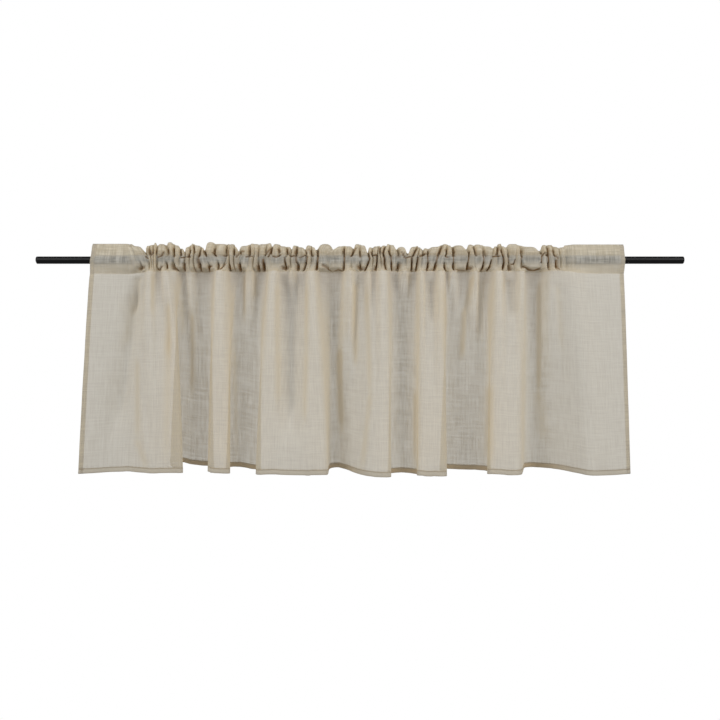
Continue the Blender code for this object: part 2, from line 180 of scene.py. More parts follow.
# Hollows of the front layer between and under the ruffles, each a stroke from one place to another. half is
# half its width and depth is how far it goes back.
HOLLOWS = table("x z to_x to_z half depth", [
    (-479, -19, -467, -17, 4, 6),
    (-462, 6, -458, 2, 1.8, 5),
    (-455, 22, -454, 12, 2.5, 7),
    (-451, 9, -445, 19, 2, 7),
    (-430, 8, -424, 15, 2.5, 5),
    (-437, 5, -430, 7, 1.6, 4),
    (-438, -19, -433, -23, 1.8, 5),
    (-433, -23, -427, -15, 1.8, 5),
    (-403, 24, -401, 7, 2.5, 7),
    (-403, -13, -402, -19, 5, 7),
    (-401, -16, -392, -25, 2, 5),
    (-388, 22, -387, 10, 2.5, 7),
    (-387, 4, -377, 4, 1.8, 6),
    (-379, -10, -380, -24, 3.2, 7),
    (-372, 5, -366, 5, 2, 6),
    (-371, 5, -365, 20, 2, 6),
    (-361, 31, -357, 15, 2.2, 5),
    (-345, 20, -349, 5, 2.5, 7),
    (-349, 0, -347, -16, 4.5, 8),
    (-338, 18, -332, 8, 2.2, 5),
    (-327, -14, -321, -15, 3, 6),
    (-328, -16, -327, -27, 1.8, 5),
    (-318, 15, -311, 8, 2, 6),
    (-306, -12, -305, -24, 3, 7),
    (-290, -11, -301, -22, 1.6, 4),
    (-295, 8, -286, 8, 1.8, 4),
    (-287, 28, -287, 8, 2, 6),
    (-281, -14, -281, -27, 2.6, 7),
    (-272, 22, -271, 11, 2.5, 7),
    (-261, -11, -260, -23, 3.5, 7),
    (-267, 5, -258, 16, 2, 5),
    (-257, 18, -251, 17, 2, 5),
    (-238, 26, -238, 20, 2.4, 7),
    (-238, 19, -238, 11, 4.5, 7),
    (-247, 6, -232, 6, 1.6, 4),
    (-222, 16, -221, 8, 3, 3),
    (-220, -15, -220, -21, 5, 8),
    (-209, 0, -208, -22, 3, 8),
    (-205, 10, -193, 24, 2.3, 6),
    (-198, 6, -190, 26, 2.2, 6),
    (-188, 7, -181, 5, 1.8, 6),
    (-181, 5, -172, 10, 1.8, 6),
    (-177, 22, -172, 17, 3, 5),
    (-166, -18, -157, -18, 5, 8),
    (-163, 4, -161, -12, 1.8, 5),
    (-157, 22, -154, 12, 3, 6),
    (-153, 10, -148, 6, 1.8, 5),
    (-148, 6, -142, 9, 1.8, 5),
    (-136, 28, -140, 14, 2.8, 7),
    (-140, 12, -137, -6, 3.6, 6),
    (-134, -13, -134, -23, 5, 8),
    (-131, 3, -117, 10, 1.5, 3),
    (-114, 6, -116, -10, 2.3, 7),
    (-116, -10, -122, -26, 2.6, 7),
    (-110, 20, -103, 9, 4, 6),
    (-91, 24, -91, 2, 2.4, 7),
    (-91, 2, -95, -24, 2.6, 7),
    (-80, -13, -70, -18, 4, 6),
    (-69, -20, -60, -25, 1.5, 4),
    (-60, -25, -47, -21, 1.5, 4),
    (-47, -21, -37, -24, 1.5, 4),
    (-34, 26, -34, 2, 2.2, 7),
    (-34, 2, -35, -25, 2.2, 6),
    (-9, 24, -19, 8, 2.6, 6),
    (0, 17, 1, 5, 3, 5),
    (-4, -16, 4, -20, 5, 8),
    (19, 11, 21, 2, 2, 6),
    (21, 2, 17, -11, 2.2, 7),
    (17, -11, 10, -24, 2.2, 7),
    (24, 15, 27, 8, 2.4, 6),
    (27, 8, 36, 10, 1.8, 6),
    (37, 10, 36, -14, 2, 6),
    (34, -17, 33, -22, 4, 7),
    (42, 25, 43, 13, 2, 5),
    (53, 26, 49, 14, 2.8, 7),
    (49, 14, 53, 3, 3, 7),
    (53, 3, 52, -10, 2.6, 6),
    (52, -10, 56, -23, 2.8, 6),
    (62, 19, 67, 7, 2.4, 6),
    (67, 7, 69, -23, 1.8, 6),
    (82, 18, 83, 6, 5, 5),
    (91, 16, 97, 4, 2, 5),
    (97, 3, 110, 6, 1.6, 5),
    (84, -12, 80, -22, 5.5, 7),
    (112, 4, 111, -24, 2.4, 7),
    (114, 8, 124, 25, 3, 6),
    (125, 4, 121, -24, 2.2, 7),
    (130, 7, 140, 12, 2.6, 6),
    (146, 18, 147, -6, 1.8, 5),
    (147, -6, 144, -26, 2.2, 6),
    (145, -25, 160, -23, 2, 5),
    (164, -12, 160, -22, 3.4, 7),
    (168, 8, 163, -12, 2.8, 5),
    (177, 28, 168, 10, 3.2, 6),
    (182, -17, 187, -25, 2, 6),
    (184, 22, 188, 14, 1.8, 5),
    (188, 14, 185, 8, 1.8, 5),
    (185, 6, 191, 4, 1.6, 4),
    (202, 27, 202, 8, 3.2, 7),
    (202, 6, 202, -12, 1.8, 4),
    (202, -14, 203, -27, 2.4, 6),
    (207, -22, 228, -23, 1.6, 3),
    (237, 16, 232, -14, 1.8, 5),
    (234, -17, 240, -19, 4, 7),
    (245, 26, 252, 10, 3.4, 5),
    (265, 16, 268, 2, 2, 5),
    (268, 2, 266, -14, 2, 5),
    (266, -14, 262, -25, 3, 6),
    (268, 19, 272, 8, 3, 4),
    (284, 0, 281, -15, 1.8, 5),
    (281, -15, 275, -23, 2.8, 6),
    (299, 25, 294, 10, 3.4, 7),
    (287, 6, 301, 7, 1.8, 5),
    (304, 20, 309, 10, 2.2, 7),
    (309, 10, 311, -6, 2.2, 7),
    (311, -6, 306, -27, 2.4, 7),
    (320, 14, 320, -6, 2.4, 4),
    (321, -15, 325, -23, 4.5, 7),
    (335, 0, 332, -10, 1.6, 4),
    (332, -10, 326, -11, 1.6, 4),
    (347, 16, 350, 4, 2, 5),
    (348, 2, 349, -18, 1.8, 3),
    (353, -15, 366, -21, 2.4, 6),
    (366, -21, 376, -23, 2.4, 6),
    (376, -23, 389, -19, 2.2, 6),
    (392, -6, 393, 6, 1.8, 6),
    (393, 6, 399, 15, 1.8, 6),
    (402, 10, 407, 9, 2.2, 6),
    (406, 25, 407, 2, 2.2, 6),
    (407, 2, 407, -24, 2.4, 6),
    (415, 19, 421, 9, 2.6, 5),
    (421, 9, 428, 2, 2.2, 4),
    (423, -2, 424, -14, 2.2, 5),
    (424, -14, 429, -23, 2.4, 5),
])

# Soft ridges that run down from the seam, each from its place there to its lower end, where it has died out.
# left and right are how far its flanks are from its middle.
RIDGES = table("x low_x low_z left right height", [
    (-453, -455, -330, 11, 10, 9),
    (-420, -408, -150, 8, 9, 10),
    (-403, -395, -330, 9, 9, 6),
    (-370, -362, -300, 9, 9, 11),
    (-299, -300, -330, 16, 14, 14),
    (-239, -247, -170, 9, 9, 14),
    (-187, -192, -330, 13, 13, 11),
    (-146, -149, -120, 5, 6, 10),
    (-103, -94, -330, 12, 12, 11),
    (-24, -36, -300, 12, 12, 16),
    (18, 18, -170, 5, 5, 8),
    (49, 55, -330, 12, 12, 10),
    (95, 95, -120, 9, 9, 12),
    (131, 125, -300, 6, 7, 10),
    (174, 172, -300, 9, 9, 11),
    (202, 200, -140, 9, 9, 12),
    (249, 247, -190, 8, 8, 13),
    (297, 292, -330, 11, 11, 10),
    (348, 348, -330, 10, 10, 10),
    (410, 418, -360, 12, 66, 15),
])

# The hem's faces from left to right, in plan, where the middle of each hangs from, and whether it is a
# channel behind the folds
FACES = table("left_x left_y right_x right_y heading channel", [
    (-601, -29, -572, -20, -565, 0),
    (-537, 0, -507, 2, -506, 0),
    (-450, -23, -373, -25, -427, 0),
    (-434, 58, -326, 60, -352, 1),
    (-332, -17, -275, -17, -297, 0),
    (-303, 42, -217, 40, -236, 1),
    (-225, -38, -67, -44, -148, 0),
    (-70, 52, -52, 52, -57, 1),
    (15, -50, 70, -57, 43, 0),
    (56, -8, 128, -8, 99, 1),
    (116, -50, 187, -52, 158, 0),
    (173, 34, 290, 14, 236, 1),
    (264, -46, 341, -46, 321, 0),
    (368, 44, 388, 46, 378, 1),
    (485, -44, 583, -14, 516, 0),
])

# How much the hem stands above its level, at places along it. The cloth between hangs that much shorter.
HEM_RISES = table("x rise", [
    (-600, 5), (-520, 6), (-480, 2), (-400, 1.5), (-372, 0), (-350, 4), (-325, 1), (-300, 1), (-275, -1),
    (-260, -4), (-230, -2), (-205, -2.5), (-180, 0), (-130, 0), (-105, -3), (-70, -3), (-58, 3), (-35, 2),
    (0, 0), (15, -3), (60, -2.5), (85, 0), (110, 0), (125, -2.5), (180, -3), (205, 1), (235, 2), (255, -1),
    (270, 1), (300, -1), (340, 0), (365, 3.5), (450, 4.5), (490, 3.5), (525, 1), (555, 3), (585, 4),
])

# Soft creases of the drop, from an upper end to a lower one. depth is towards the room, negative for a
# trough, and tan
# # is how much painted tan the crease adds, for cloth seen edge-on there, negative for less than its slope
# gives.
CREASES = table("top_x top_z low_x low_z width depth tan", [
    (-482, -34, -500, -120, 7, -10, 0.6),
    (-496, -100, -515, -190, 9, 0, 0.4),
    (-487, -60, -536, -390, 15, -18, 0),
    (-462, -66, -475, -210, 5, 4, 0),
    (-475, -200, -475, -300, 5, 4, 0),
    (-475, -290, -457, -430, 6, 3, 0),
    (-484, -215, -482, -400, 7, -2, 0.6),
    (-482, -390, -458, -450, 8, 0, 0.55),
    (-446, -32, -446, -128, 4, -2.5, 0.6),
    (-413, -95, -413, -220, 7, -2, 0.7),
    (-391, -85, -391, -165, 5, -1.5, 0.5),
    (-413, -150, -415, -450, 8, 0, 0.35),
    (-369, -115, -377, -310, 5, -3, 1.2),
    (-277, -190, -276, -450, 4, 0, 0.6),
    (-254, -30, -254, -135, 4, -2.5, 0.9),
    (-228, -30, -228, -85, 4, -2.5, 0.7),
    (-151, -50, -148, -390, 23, -36, -0.7),
    (-178, -55, -177, -220, 5, 2, 0.5),
    (-176, -200, -176, -320, 6, 4, 0.5),
    (-138, -25, -138, -115, 4, -2, 0.6),
    (-114, -60, -116, -210, 5, 2, 0.4),
    (-114, -200, -116, -360, 6, 4, 0.5),
    (-12, -60, -32, -190, 12, 8, 0),
    (-9, -50, -11, -240, 5, -2.5, 1.1),
    (-40, -200, -46, -380, 7, 5, 0),
    (-45, -195, -41, -385, 7, -2, 1.4),
    (-18, -230, -14, -460, 22, 0, -0.5),
    (15, -60, 21, -310, 6, -2, 0.7),
    (21, -290, 4, -450, 6, -1.5, 0.6),
    (92, -46, 92, -450, 24, -22, -0.3),
    (108, -28, 107, -90, 4, -2, 0.8),
    (119, -285, 118, -450, 4, 0, 1),
    (153, -48, 155, -140, 8, -9, 0),
    (176, -60, 181, -230, 9, 0, 0.35),
    (211, -50, 203, -120, 7, 5, 0),
    (243, -34, 229, -120, 5, -2.5, 0.8),
    (229, -105, 224, -220, 6, 4, 1.1),
    (265, -36, 262, -190, 6, -8, 0.4),
    (279, -270, 277, -450, 6, 0, 0.6),
    (311, -30, 311, -75, 4, -1.5, 0.5),
    (320, -45, 322, -130, 10, -9, 0),
    (341, -30, 341, -215, 5, -1.5, 0.3),
    (391, -48, 396, -310, 4, 4, 1.4),
    (394, -290, 406, -400, 11, 1, 0.5),
    (424, -55, 435, -200, 6, -1.5, 0.35),
    (430, -50, 436, -300, 11, -2, 0),
    (478, -60, 486, -330, 16, -1.5, 0),
])

# The shape of the drop
CORNER = 26  # length of cloth that a corner of the hem's plan takes up
DEPTH_AT_SEAM, DEPTH_POWER = 0.18, 0.66  # the share of the folds' depth at the seam, and how fast it grows
SPREAD_POWER, FLAT_SPREAD_POWER = 0.45, 0.95  # how fast ruffled and flat cloth spreads to the hem
SEAM_RUN = 14.0  # how far down the threads keep their places at the seam
LEAST_FALL, FALL_SOFT = 0.5, 8  # the least fall for a row's step, and the threads that even it out
RIDGE_GAIN, RIDGE_POWER, RIDGE_WIDENS = 1.8, 4, 0.5
CREASE_START, CREASE_END = (0.18, 0.4), (0.35, 0.2)  # how each end fades
RIPPLES = table("length height", [(70.0, 0.9), (28.0, 0.35)])
RIPPLE_WAVES, RIPPLE_UPRIGHT, RIPPLE_PHASE = 6, 0.6, 6
STILL_ROWS = 8  # rows below the seam over which creases and ripples fade in

# The painted shade in the valleys, over the heights of a ruffle's section, and the painted tan and light of
# the sheet
VALLEY, SHADE_START = 15.0, 0.40  # depth of a valley in full shade, and the share of it where shade begins
HOLLOW_POWER = 4.0  # how flat the floor of a hollow is, and how steep its sides
SHADE_WIDTH, STEEPEST = 0.78, 2.3  # how wide a hollow's shade is for its width, and the slope in full shade
HOLLOW_FADE = (0.15, 0.16)  # heights over which hollows fade at the seam and at the edge
SEAM_FADE, EDGE_FADE = 0.1, 0.3  # the same for the shade
FRILL_SHADE, FRILL_START, FRILL_FADE = 0.76, 0.3, 0.3  # what the frill has of it
LOBE_SHADE = 0.07  # how shaded the frill is below its rolled edge
LOBE_START, LOBE_GROWTH, LOBE_END, LOBE_FADE = 0.1, 0.3, 0.92, 0.25
GATHER_SHADE, GATHER_REACH = 0.24, 55.0  # the painted shade between the ridges at the seam, and how far down it goes
LIT_RIDGE = 8.0  # height of a ridge without it
WALL_TAN, POCKET_WALL_TAN = 0.6, 0.5  # how much painted tan the wall of a fold gets, and the share of that in the pocket
WALL_START, WALL_FULL = 0.90, 0.20  # how square to the room a wall stands where its tint begins and is full
WALL_SOFT = 2
DOUBLED_BELOW, DOUBLED_START = 0.4, 3.0  # how much painted light from the second layer the pocket gets under the rod, and how soon it comes in
OFF_ROD = 8.0  # how far before the rod the cloth has none of the painted tone and the open weave it has over the rod
SHARES = ("painted_shade", "painted_tan", "painted_layer_light", "set_back", "over_rod")

# The linen
YARN = (0.625, 0.592, 0.515, 1.0)
YARN_THICK = (0.80, 0.765, 0.68, 1.0)
YARN_HEM = (0.72, 0.68, 0.60, 1.0)
YARN_SIDE = (0.68, 0.645, 0.56, 1.0)
# painted shade: the hem's colour in the channels behind the folds, darker and browner
YARN_HEM_SHADED = (0.62, 0.48, 0.30, 1.0)
STITCHED = (0.42, 0.35, 0.26, 1.0)  # the line of stitches and the folded edge
STITCHED_SHARE, STITCHED_WIDTH = 0.65, (0.6, 2.0)
DOUBLED = (1.46, 1.43, 1.34, 1.0)  # painted light: how much lighter a slub is where the pocket's second layer lies behind it
DOUBLED_OPEN = (0.98, 0.94, 0.86, 1.0)  # the same between the slubs
ON_ROD = (1.25, 1.27, 1.29, 1.0)  # painted light: how much lighter and cooler a slub is where the cloth lies on the rod
ON_ROD_OPEN = (0.95, 0.97, 0.99, 1.0)
TAN = (0.84, 0.71, 0.50, 1.0)  # painted tan where the cloth turns edge-on on the wall of a fold, for the denser, warmer look of sheer cloth seen at a slant
TAN_SHARE, TAN_THROUGH, PAINTED_SHADE_SHARE, THROUGH_SHARE = 0.8, 0.6, 0.9, 0.58
PAINTED_SHADE_BROWN = (0.34, 0.195, 0.085, 1.0)  # painted shade: the dark brown of the yarn in the valleys, the hollows and between the ridges, where light reaches it only through other cloth
THROUGH = (0.98, 0.89, 0.70, 1.0)  # the light that comes through the yarn, and through a slub
THROUGH_THICK = (0.60, 0.51, 0.37, 1.0)
THROUGH_HEM = (0.84, 0.79, 0.69, 1.0)
SHEER, SHEER_HEM = 0.13, 0.02  # share of the sheet that is open between its yarns
SLUB = 0.035  # how much that share varies with the slubs
SLUB_BEHIND, SLUB_ON_ROD = 0.025, 0.035  # how much more in the channels and the pocket, and before the rod
THREAD_PITCH = 0.0012
FINE_SLUBS, COARSE_SLUBS = (460.0, 24.0), (330.0, 8.0)  # slubs for a metre across the yarn and along it
COARSE_SHARE, WARP_SHARE, WEFT_SHARE = 0.5, 1.15, 0.85
SLUB_RANGE, CROSSING_RANGE = (1.2, 1.8), (1.3, 1.7)
THREAD_RELIEF, BUMP_STRENGTH, BUMP_HEIGHT = 0.3, 0.35, 0.0006
LINEN_ROUGHNESS, LINEN_GLOSS = 0.92, 0.2

# The camera, the room and the light, in metres
CAMERA_DISTANCE = 1.5  # as the waves of the photo's hem tell
CAMERA_HEIGHT = -0.217
VIEW_WIDTH, SENSOR = 1.565, 36.0
FLOOR_HEIGHT, FLOOR_RADIUS = -1.6, 1.1
SURROUND = 0.33  # how strongly the white surround lights the valance
SOFTBOXES = table("name place power", [
    ("left_softbox", (-1.6, -1.5, 0.8), 28.0),
    ("right_softbox", (1.7, -1.5, 0.8), 34.0),
])
SOFTBOX_SIZE = 1.2
LIT_PLACE = (0.0, 0.0, -0.1)


def lerp(a, b, share):
    return a + (b - a) * share


def smooth(share):
    share = np.clip(share, 0.0, 1.0)
    return share * share * (3 - 2 * share)


def curve_through(xs, ys, at):
    """A smooth curve through rows of values, one for each x, that never overshoots them, at one place."""
    xs, ys = np.array(xs, float), np.array(ys, float)
    steps = np.diff(xs).reshape((-1,) + (1,) * (ys.ndim - 1))
    slopes = np.diff(ys, axis=0) / steps
    product = slopes[1:] * slopes[:-1]
    total = slopes[1:] + slopes[:-1]
    inner = np.where(product > 0, 2 * product / np.where(product > 0, total, 1.0), 0.0)
    tangents = np.concatenate([slopes[:1], inner, slopes[-1:]])
    index = min(max(int(np.searchsorted(xs, at)) - 1, 0), len(xs) - 2)
    step = xs[index + 1] - xs[index]
    t = (at - xs[index]) / step
    return (
        ys[index] * (1 + 2 * t) * (1 - t) ** 2
        + tangents[index] * step * t * (1 - t) ** 2
        + ys[index + 1] * t * t * (3 - 2 * t)
        - tangents[index + 1] * step * t * t * (1 - t)
    )


def running_mean(padded, reach):
    """The mean of each value and reach neighbours at each side. padded has reach more at each end."""
    sums = np.cumsum(np.concatenate([np.zeros((1,) + padded.shape[1:]), padded]), axis=0)
    return (sums[2 * reach + 1 :] - sums[: -2 * reach - 1]) / (2 * reach + 1)


def soften(values, reach):
    first, last = np.repeat(values[:1], reach, 0), np.repeat(values[-1:], reach, 0)
    return running_mean(np.concatenate([first, values, last]), reach)


def running_total(steps):
    return np.concatenate([[0.0], np.cumsum(steps)])


def row_places(grid):
    """How far each row of a grid is from its first one, along its threads."""
    return running_total(np.linalg.norm(np.diff(grid, axis=0), axis=2).mean(axis=1))


def thread_places():
    """For each thread its ruffle, its even share of the way across that, and its place if it is flat."""
    hem_steps = [0.0, 1.0, SIDE_HEM / 2, SIDE_HEM - 1.0, SIDE_HEM]
    start, end = VALLEYS[0].seam, VALLEYS[-1].seam
    first = LEFT_EDGE + SIDE_HEM + FLAT_STEP
    threads = [(-1, 0.0, LEFT_EDGE + step) for step in hem_steps]
    threads += [(-1, 0.0, x) for x in np.arange(first, start - THREAD_GAP, FLAT_STEP)]
    for index, (a, b) in enumerate(zip(VALLEYS[:-1], VALLEYS[1:])):
        width = max(b.seam - a.seam, b.rod - a.rod, b.frill - a.frill)
        count = max(LEAST_THREADS, 2 * round(width / RUFFLE_STEP / 2))
        threads += [(index, step / count, 0.0) for step in range(count)]
    threads += [(-2, 0.0, x) for x in np.arange(end, RIGHT_EDGE - SIDE_HEM - THREAD_GAP, FLAT_STEP)]
    threads += [(-2, 0.0, RIGHT_EDGE - step) for step in hem_steps[::-1]]
    if len(threads) % 2 == 0:
        threads.remove((-1, 0.0, first))
    return threads


def hem_curve():
    """The hem in plan, a point for each millimetre of cloth, how far each point is in a channel, and the
    cloth's length to there and to each face's middle."""
    corners = np.array([p for f in FACES for p in ((f.left_x, f.left_y), (f.right_x, f.right_y))], float)
    along = running_total(np.hypot(*np.diff(corners, axis=0).T))
    steps = np.arange(0, along[-1], 1.0)
    plan = np.stack([np.interp(steps, along, corners[:, axis]) for axis in (0, 1)], axis=1)
    reach = CORNER // 2
    for _ in range(2):
        before = 2 * plan[0] - plan[reach:0:-1]
        behind = 2 * plan[-1] - plan[-2 : -reach - 2 : -1]
        plan = running_mean(np.concatenate([before, plan, behind]), reach)
    cloth = running_total(np.hypot(*np.diff(plan, axis=0).T))
    channel = smooth(np.interp(steps, along, np.repeat([face.channel for face in FACES], 2)))
    middles = [float(np.interp((a + b) / 2, steps, cloth)) for a, b in zip(along[::2], along[1::2])]
    return plan, channel, cloth, middles


def pocket_height(height, limit):
    """The place of a section's height above the rod's axis, where limit is that of its end."""
    side = math.copysign(1.0, height)
    near = min(1.0, 2 * abs(height))
    far = max(0.0, 2 * abs(height) - 1)
    return side * near * PASS + far * (limit - side * PASS)


def drop_levels():
    """Distances below the seam at which a row of points lies, closer under the seam and at the hem."""
    limit = DROP - BOTTOM_HEM - HEM_ROOM
    levels = [FIRST_ROW]
    while levels[-1] < limit - 1:
        levels.append(levels[-1] + min(LONGEST_ROW, ROW_STEP + ROW_GROWTH * levels[-1]))
    return [level for level in levels if level < limit] + [DROP - above for above in HEM_ROWS]


def ridge_height(x, z):
    """How far the ridges below the seam stand out towards the room."""
    height = np.zeros(np.shape(x))
    for ridge in RIDGES:
        share = np.clip((SEAM_GATHERED - z) / (SEAM_GATHERED - ridge.low_z), 0.0, 1.0)
        centre = lerp(ridge.x, ridge.low_x, share)
        half = np.where(x < centre, ridge.left, ridge.right) * (1 + RIDGE_WIDENS * share)
        flank = np.exp(-(np.abs((x - centre) / half) ** RIDGE_POWER))
        height = height + RIDGE_GAIN * ridge.height * (1 - share) * flank
    return height


def gather_shade(points, down):
    """The painted shade between the ridges just below the seam."""
    ridge = np.clip(ridge_height(points[:, 0], points[:, 2]) / (RIDGE_GAIN * LIT_RIDGE), 0.0, 1.0)
    return GATHER_SHADE * (1 - ridge) * math.exp(-down / GATHER_REACH)


class Heading:
    """The threads of the gathered heading: where each lies across, forward and up, at any height of it."""

    def __init__(self):
        index, even, self.flat_x = np.array(thread_places()).T
        column = {name: np.array([getattr(v, name) for v in VALLEYS], float) for name in VALLEYS[0]._fields}
        self.column = column
        start, end = VALLEYS[0].seam, VALLEYS[-1].seam
        self.flat, self.at_left = index < 0, self.flat_x < 0
        self.gathered = np.where(self.flat, 0.0, 1.0)
        self.left = np.maximum(index, 0).astype(int)
        self.right = self.left + 1
        turn = even - CROWDING * np.sin(2 * math.pi * even) / (2 * math.pi)
        upright = WALL * np.sin(4 * math.pi * turn) / (4 * math.pi)
        self.turn, self.away = turn, upright - MOUTH * np.sin(2 * math.pi * turn) / (2 * math.pi)
        self.near = np.where(turn < 0.5, self.left, self.right)
        bulge = column["bulge"]
        padded = np.concatenate([bulge[:1], bulge])
        around = (padded[:-1] + padded[1:]) / 2
        around[-1] = bulge[-2] / 2
        self.around = around[self.near]

        from_ruffles = np.where(self.at_left, start - self.flat_x, self.flat_x - end)
        self.settled = np.where(self.flat, smooth(from_ruffles / SETTLE), 0.0)
        self.upright = smooth(from_ruffles / LEAN_SETTLE)
        gathered = lerp(column["seam"][self.left], column["seam"][self.right], turn)
        self.x = np.where(self.flat, self.flat_x, gathered)
        edge = lerp(column["notch"][self.near], column["crest"][self.left], self.hump(LOBE_POWER))
        notch = np.where(self.at_left, column["notch"][0], column["notch"][-1])
        heading = np.where(self.at_left, HEADING_LEFT, HEADING_RIGHT)
        self.top = np.where(self.flat, lerp(notch, heading, self.settled), edge)
        inside = smooth(np.minimum(self.x - start, end - self.x) / SETTLE)
        flat = lerp(SEAM_BETWEEN, SEAM_FLAT, self.settled)
        self.seam = np.where(self.flat, flat, lerp(SEAM_BETWEEN, SEAM_GATHERED, inside))

    def hump(self, power):
        """A share that is 0 at the valleys and 1 at the crests, flatter there for a higher power."""
        return 1 - np.abs(np.cos(math.pi * self.turn)) ** power

    def place(self, height):
        """Where each thread lies across and up at one height."""
        places = [self.column[name] for name in VALLEYS[0]._fields[: len(VALLEY_HEIGHTS)]]
        valleys = curve_through(VALLEY_HEIGHTS, places, height)
        overhang = 1 - (1 - TOP_OVERHANG) * smooth((height - TOP_START) / (1 - TOP_START))
        gathered = lerp(valleys[self.left], valleys[self.right], self.turn + overhang * self.away)
        swell = np.where(self.at_left, *END_SWELL) * (1 - height**2)
        lean = np.where(self.at_left, *END_LEAN) * (1 + height) / 2
        spread = (swell - lean) * smooth((np.abs(self.flat_x) - END_START) / END_WIDTH)
        leaning = np.where(self.at_left, valleys[0] - VALLEYS[0].seam, valleys[-1] - VALLEYS[-1].seam)
        flat = self.flat_x + np.sign(self.flat_x) * spread + leaning * (1 - self.upright)
        limit = self.top if height > 0 else self.seam
        return np.where(self.flat, flat, gathered), pocket_height(height, limit) * np.ones(len(limit))

    def forward(self, seam_y):
        """The front layer, its crests without their valleys, and the back layer, at each section."""
        column = self.column
        open_edge = np.clip((column["crest"] - column["notch"]) / OPEN_NOTCH, LEAST_OPEN, 1.0)
        low, rod, frill = column["deep_low"], column["deep_rod"], column["deep_frill"]
        edge = frill * EDGE_ROLL[0], frill * open_edge * EDGE_ROLL[1]
        deep = [low, low, rod, (rod + frill) / 2, frill, *edge]
        width = column["rod"][1:] - column["rod"][:-1]
        flatness = smooth((width - NARROW) / (WIDE - NARROW))[self.left]
        rise = self.hump(CREST_POWER)
        lobe = (1 - rise) * self.around * self.gathered
        front, crests, back = [], [], []
        for section, share in zip(SECTIONS, deep):
            share = share[self.near]
            crest = column["bulge"][self.left] * (section.gain * (1 - flatness * section.taut))
            valley = (1 - share) * self.around * section.gain * (1 - section.taut) - share * section.back
            pucker = 4 * self.settled * (1 - self.settled) * END_PUCKER * section.gain
            y = -(section.reach + np.where(self.flat, pucker, lerp(valley, crest, rise)))
            front.append(y)
            crests.append(-(section.reach + np.where(self.flat, pucker, crest)))
            back.append(section.reach + BACK_LOBE * lobe if section.height < 0.5 else y + 2 * section.reach)
        front[0] = seam_y
        back[0] = seam_y + 0.6
        return front, crests, back


def hollow_depth(x, z):
    """How far the hollows push the front layer back, and how much painted shade the cloth in them gets."""
    depth, shade = np.zeros(np.shape(x)), np.zeros(np.shape(x))
    for hollow in HOLLOWS:
        way_x, way_z = hollow.to_x - hollow.x, hollow.to_z - hollow.z
        share = ((x - hollow.x) * way_x + (z - hollow.z) * way_z) / (way_x**2 + way_z**2)
        share = np.clip(share, 0.0, 1.0)
        away = np.hypot(x - hollow.x - share * way_x, z - hollow.z - share * way_z)
        inside = np.exp(-((away / hollow.half) ** HOLLOW_POWER))
        depth = np.maximum(depth, hollow.depth * inside)
        dark = np.exp(-((away / hollow.half / SHADE_WIDTH) ** HOLLOW_POWER))
        shade = np.maximum(shade, dark * min(1.0, hollow.depth / hollow.half / STEEPEST))
    return np.array([depth, shade])


def drop_grid(heading, hem, seam, gathered):
    """The drop as a grid of points by row and thread, from the hem up to the seam, and its painted shade."""
    last, seam_x = seam, seam[:, 0]
    drop, shades = [last], [gathered * gather_shade(last, 0.0)]
    before = 0.0
    rise = np.interp(hem[:, 0], *np.array(HEM_RISES, float).T) / DROP
    for down in drop_levels():
        level, step = down / DROP, down - before
        before = down
        spread = level ** lerp(SPREAD_POWER, FLAT_SPREAD_POWER, heading.settled)
        x = lerp(heading.x, hem[:, 0], spread) + (seam_x - heading.x) * math.exp(-down / SEAM_RUN)
        y = lerp(DEPTH_AT_SEAM, 1.0, level**DEPTH_POWER) * hem[:, 1] - ridge_height(x, last[:, 2] - step)
        slide = np.hypot(x - last[:, 0], y - last[:, 1])
        fall = np.sqrt(np.maximum(step**2 - slide**2, (LEAST_FALL * step) ** 2))
        last = np.column_stack([x, y, last[:, 2] - soften(fall - rise * step, FALL_SOFT)])
        drop.append(last)
        shades.append(gathered * gather_shade(last, down))
    return np.array(drop[::-1]), np.array(shades[::-1])


def pocket_grid(heading, seam, gathered):
    """The pocket as a grid of points, up its front, over the edge and down its back, and its painted shade.
    """
    fronts, crests, backs = heading.forward(seam[:, 1])
    heights = [section.height for section in SECTIONS]
    bearing_radius = ROD_RADIUS + SEAT
    pocket, painted_shade = [], []
    for height in np.linspace(-1.0, 1.0, FRONT_ROWS):
        x, z = heading.place(height)
        hollows = hollow_depth(x, z) * smooth((height + 1) / HOLLOW_FADE[0])
        hollows, shade = hollows * smooth((1 - height) / HOLLOW_FADE[1])
        y = curve_through(heights, fronts, height)
        hidden = (y - curve_through(heights, crests, height)) / VALLEY * smooth((1.0 - height) / EDGE_FADE)
        bearing = -np.sqrt(np.maximum(bearing_radius**2 - z**2, 0.0))
        y = np.where(np.abs(z) < bearing_radius, np.minimum(y + hollows, bearing), y + hollows)
        pocket.append(np.column_stack([x, y, z]))
        hidden = smooth((np.where(heading.flat, 0.0, hidden) - SHADE_START) / (1 - SHADE_START))
        frill = lerp(1.0, FRILL_SHADE, smooth((height - FRILL_START) / FRILL_FADE))
        lobe = LOBE_SHADE * smooth((height - LOBE_START) / LOBE_GROWTH)
        lobe = lobe * smooth((LOBE_END - height) / LOBE_FADE) * gathered
        dark = np.maximum(np.maximum(hidden, shade) * frill, lobe)
        painted_shade.append(dark * smooth((height + 1) / SEAM_FADE))
    for height in np.linspace(1.0, -1.0, BACK_ROWS)[1:]:
        x, z = heading.place(height)
        pocket.append(np.column_stack([x, curve_through(heights, backs, height), z]))
        painted_shade.append(np.zeros(len(x)))
    return np.array(pocket), np.array(painted_shade)


